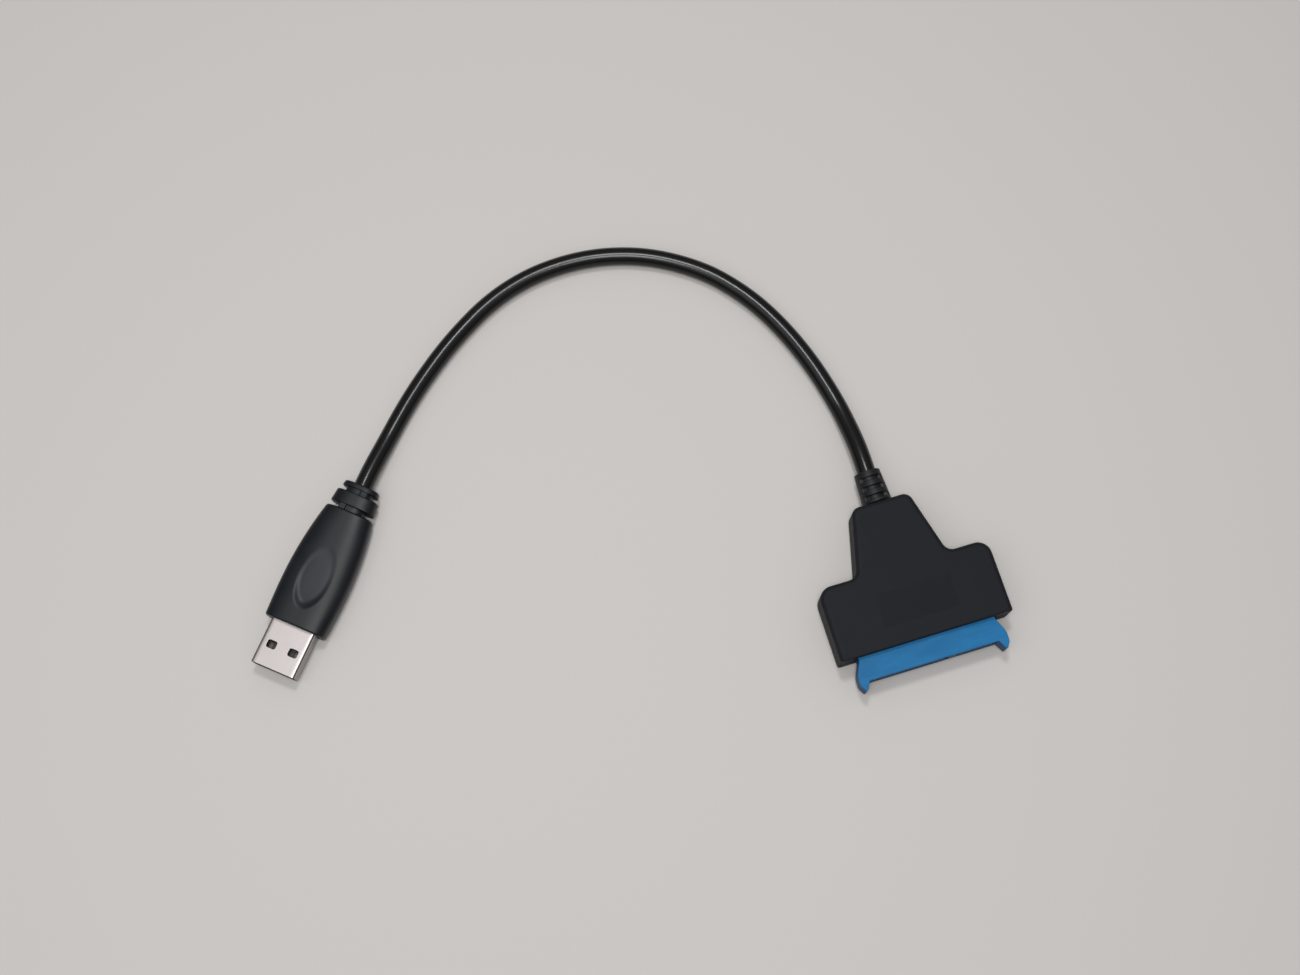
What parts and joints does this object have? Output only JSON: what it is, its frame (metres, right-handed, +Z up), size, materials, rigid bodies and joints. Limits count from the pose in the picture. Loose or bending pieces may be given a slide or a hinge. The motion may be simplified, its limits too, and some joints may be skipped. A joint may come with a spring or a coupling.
{
  "type": "usb to sata adapter",
  "caption": "Short adapter lead: a T-shaped housing with a combined drive data and power socket, a slotted boot, a round cable and a moulded plug with a folded metal shell.",
  "frame": {"origin": "bottom centre of the housing with its socket and boot, on the surface that the adapter lies on", "axes": "+X along the socket's width, +Y from the drive socket back towards the cable's exit, so that drives are met towards -Y, and +Z up through the housing's thickness"},
  "size_m": [0.1857, 0.1353, 0.0102],
  "materials": {
    "boot": "soft satin moulding",
    "chip": "matt moulded epoxy",
    "cable": "soft sheen, smooth jacket",
    "capacitor": "fired, matt",
    "board": "solder mask over laminate",
    "can": "drawn can",
    "housing": "fine matt moulded texture",
    "contact": "gold plated",
    "socket": "satin moulded",
    "grip": "soft satin moulding",
    "shell": "stamped and plated, satin",
    "tongue": "satin moulded",
    "wire_black": "extruded",
    "wire_blue": "extruded",
    "wire_green": "extruded",
    "wire_orange": "extruded",
    "wire_purple": "extruded",
    "wire_red": "extruded",
    "wire_white": "extruded",
    "wire_yellow": "extruded"
  },
  "bodies": {
    "root": {"boot": "boot", "bridge_chip": "chip", "cable_jacket": "cable", "capacitor_1": "capacitor", "capacitor_2": "capacitor", "capacitor_3": "capacitor", "capacitor_4": "capacitor", "circuit_board": "board", "crystal": "can", "housing_bottom": "housing", "housing_top": "housing", "memory_chip": "chip", "power_contact_01": "contact", "power_contact_02": "contact", "power_contact_03": "contact", "power_contact_04": "contact", "power_contact_05": "contact", "power_contact_06": "contact", "power_contact_07": "contact", "power_contact_08": "contact", "power_contact_09": "contact", "power_contact_10": "contact", "power_contact_11": "contact", "power_contact_12": "contact", "power_contact_13": "contact", "power_contact_14": "contact", "power_contact_15": "contact", "power_inductor": "chip", "signal_contact_01": "contact", "signal_contact_02": "contact", "signal_contact_03": "contact", "signal_contact_04": "contact", "signal_contact_05": "contact", "signal_contact_06": "contact", "signal_contact_07": "contact", "socket_body": "socket", "usb_grip": "grip", "usb_pad_1": "contact", "usb_pad_2": "contact", "usb_pad_3": "contact", "usb_pad_4": "contact", "usb_shell": "shell", "usb_spring_1": "contact", "usb_spring_2": "contact", "usb_spring_3": "contact", "usb_spring_4": "contact", "usb_spring_5": "contact", "usb_tongue": "tongue", "voltage_regulator": "chip", "wire_black": "wire_black", "wire_blue": "wire_blue", "wire_green": "wire_green", "wire_orange": "wire_orange", "wire_purple": "wire_purple", "wire_red": "wire_red", "wire_white": "wire_white", "wire_yellow": "wire_yellow"}
  },
  "joints": []
}
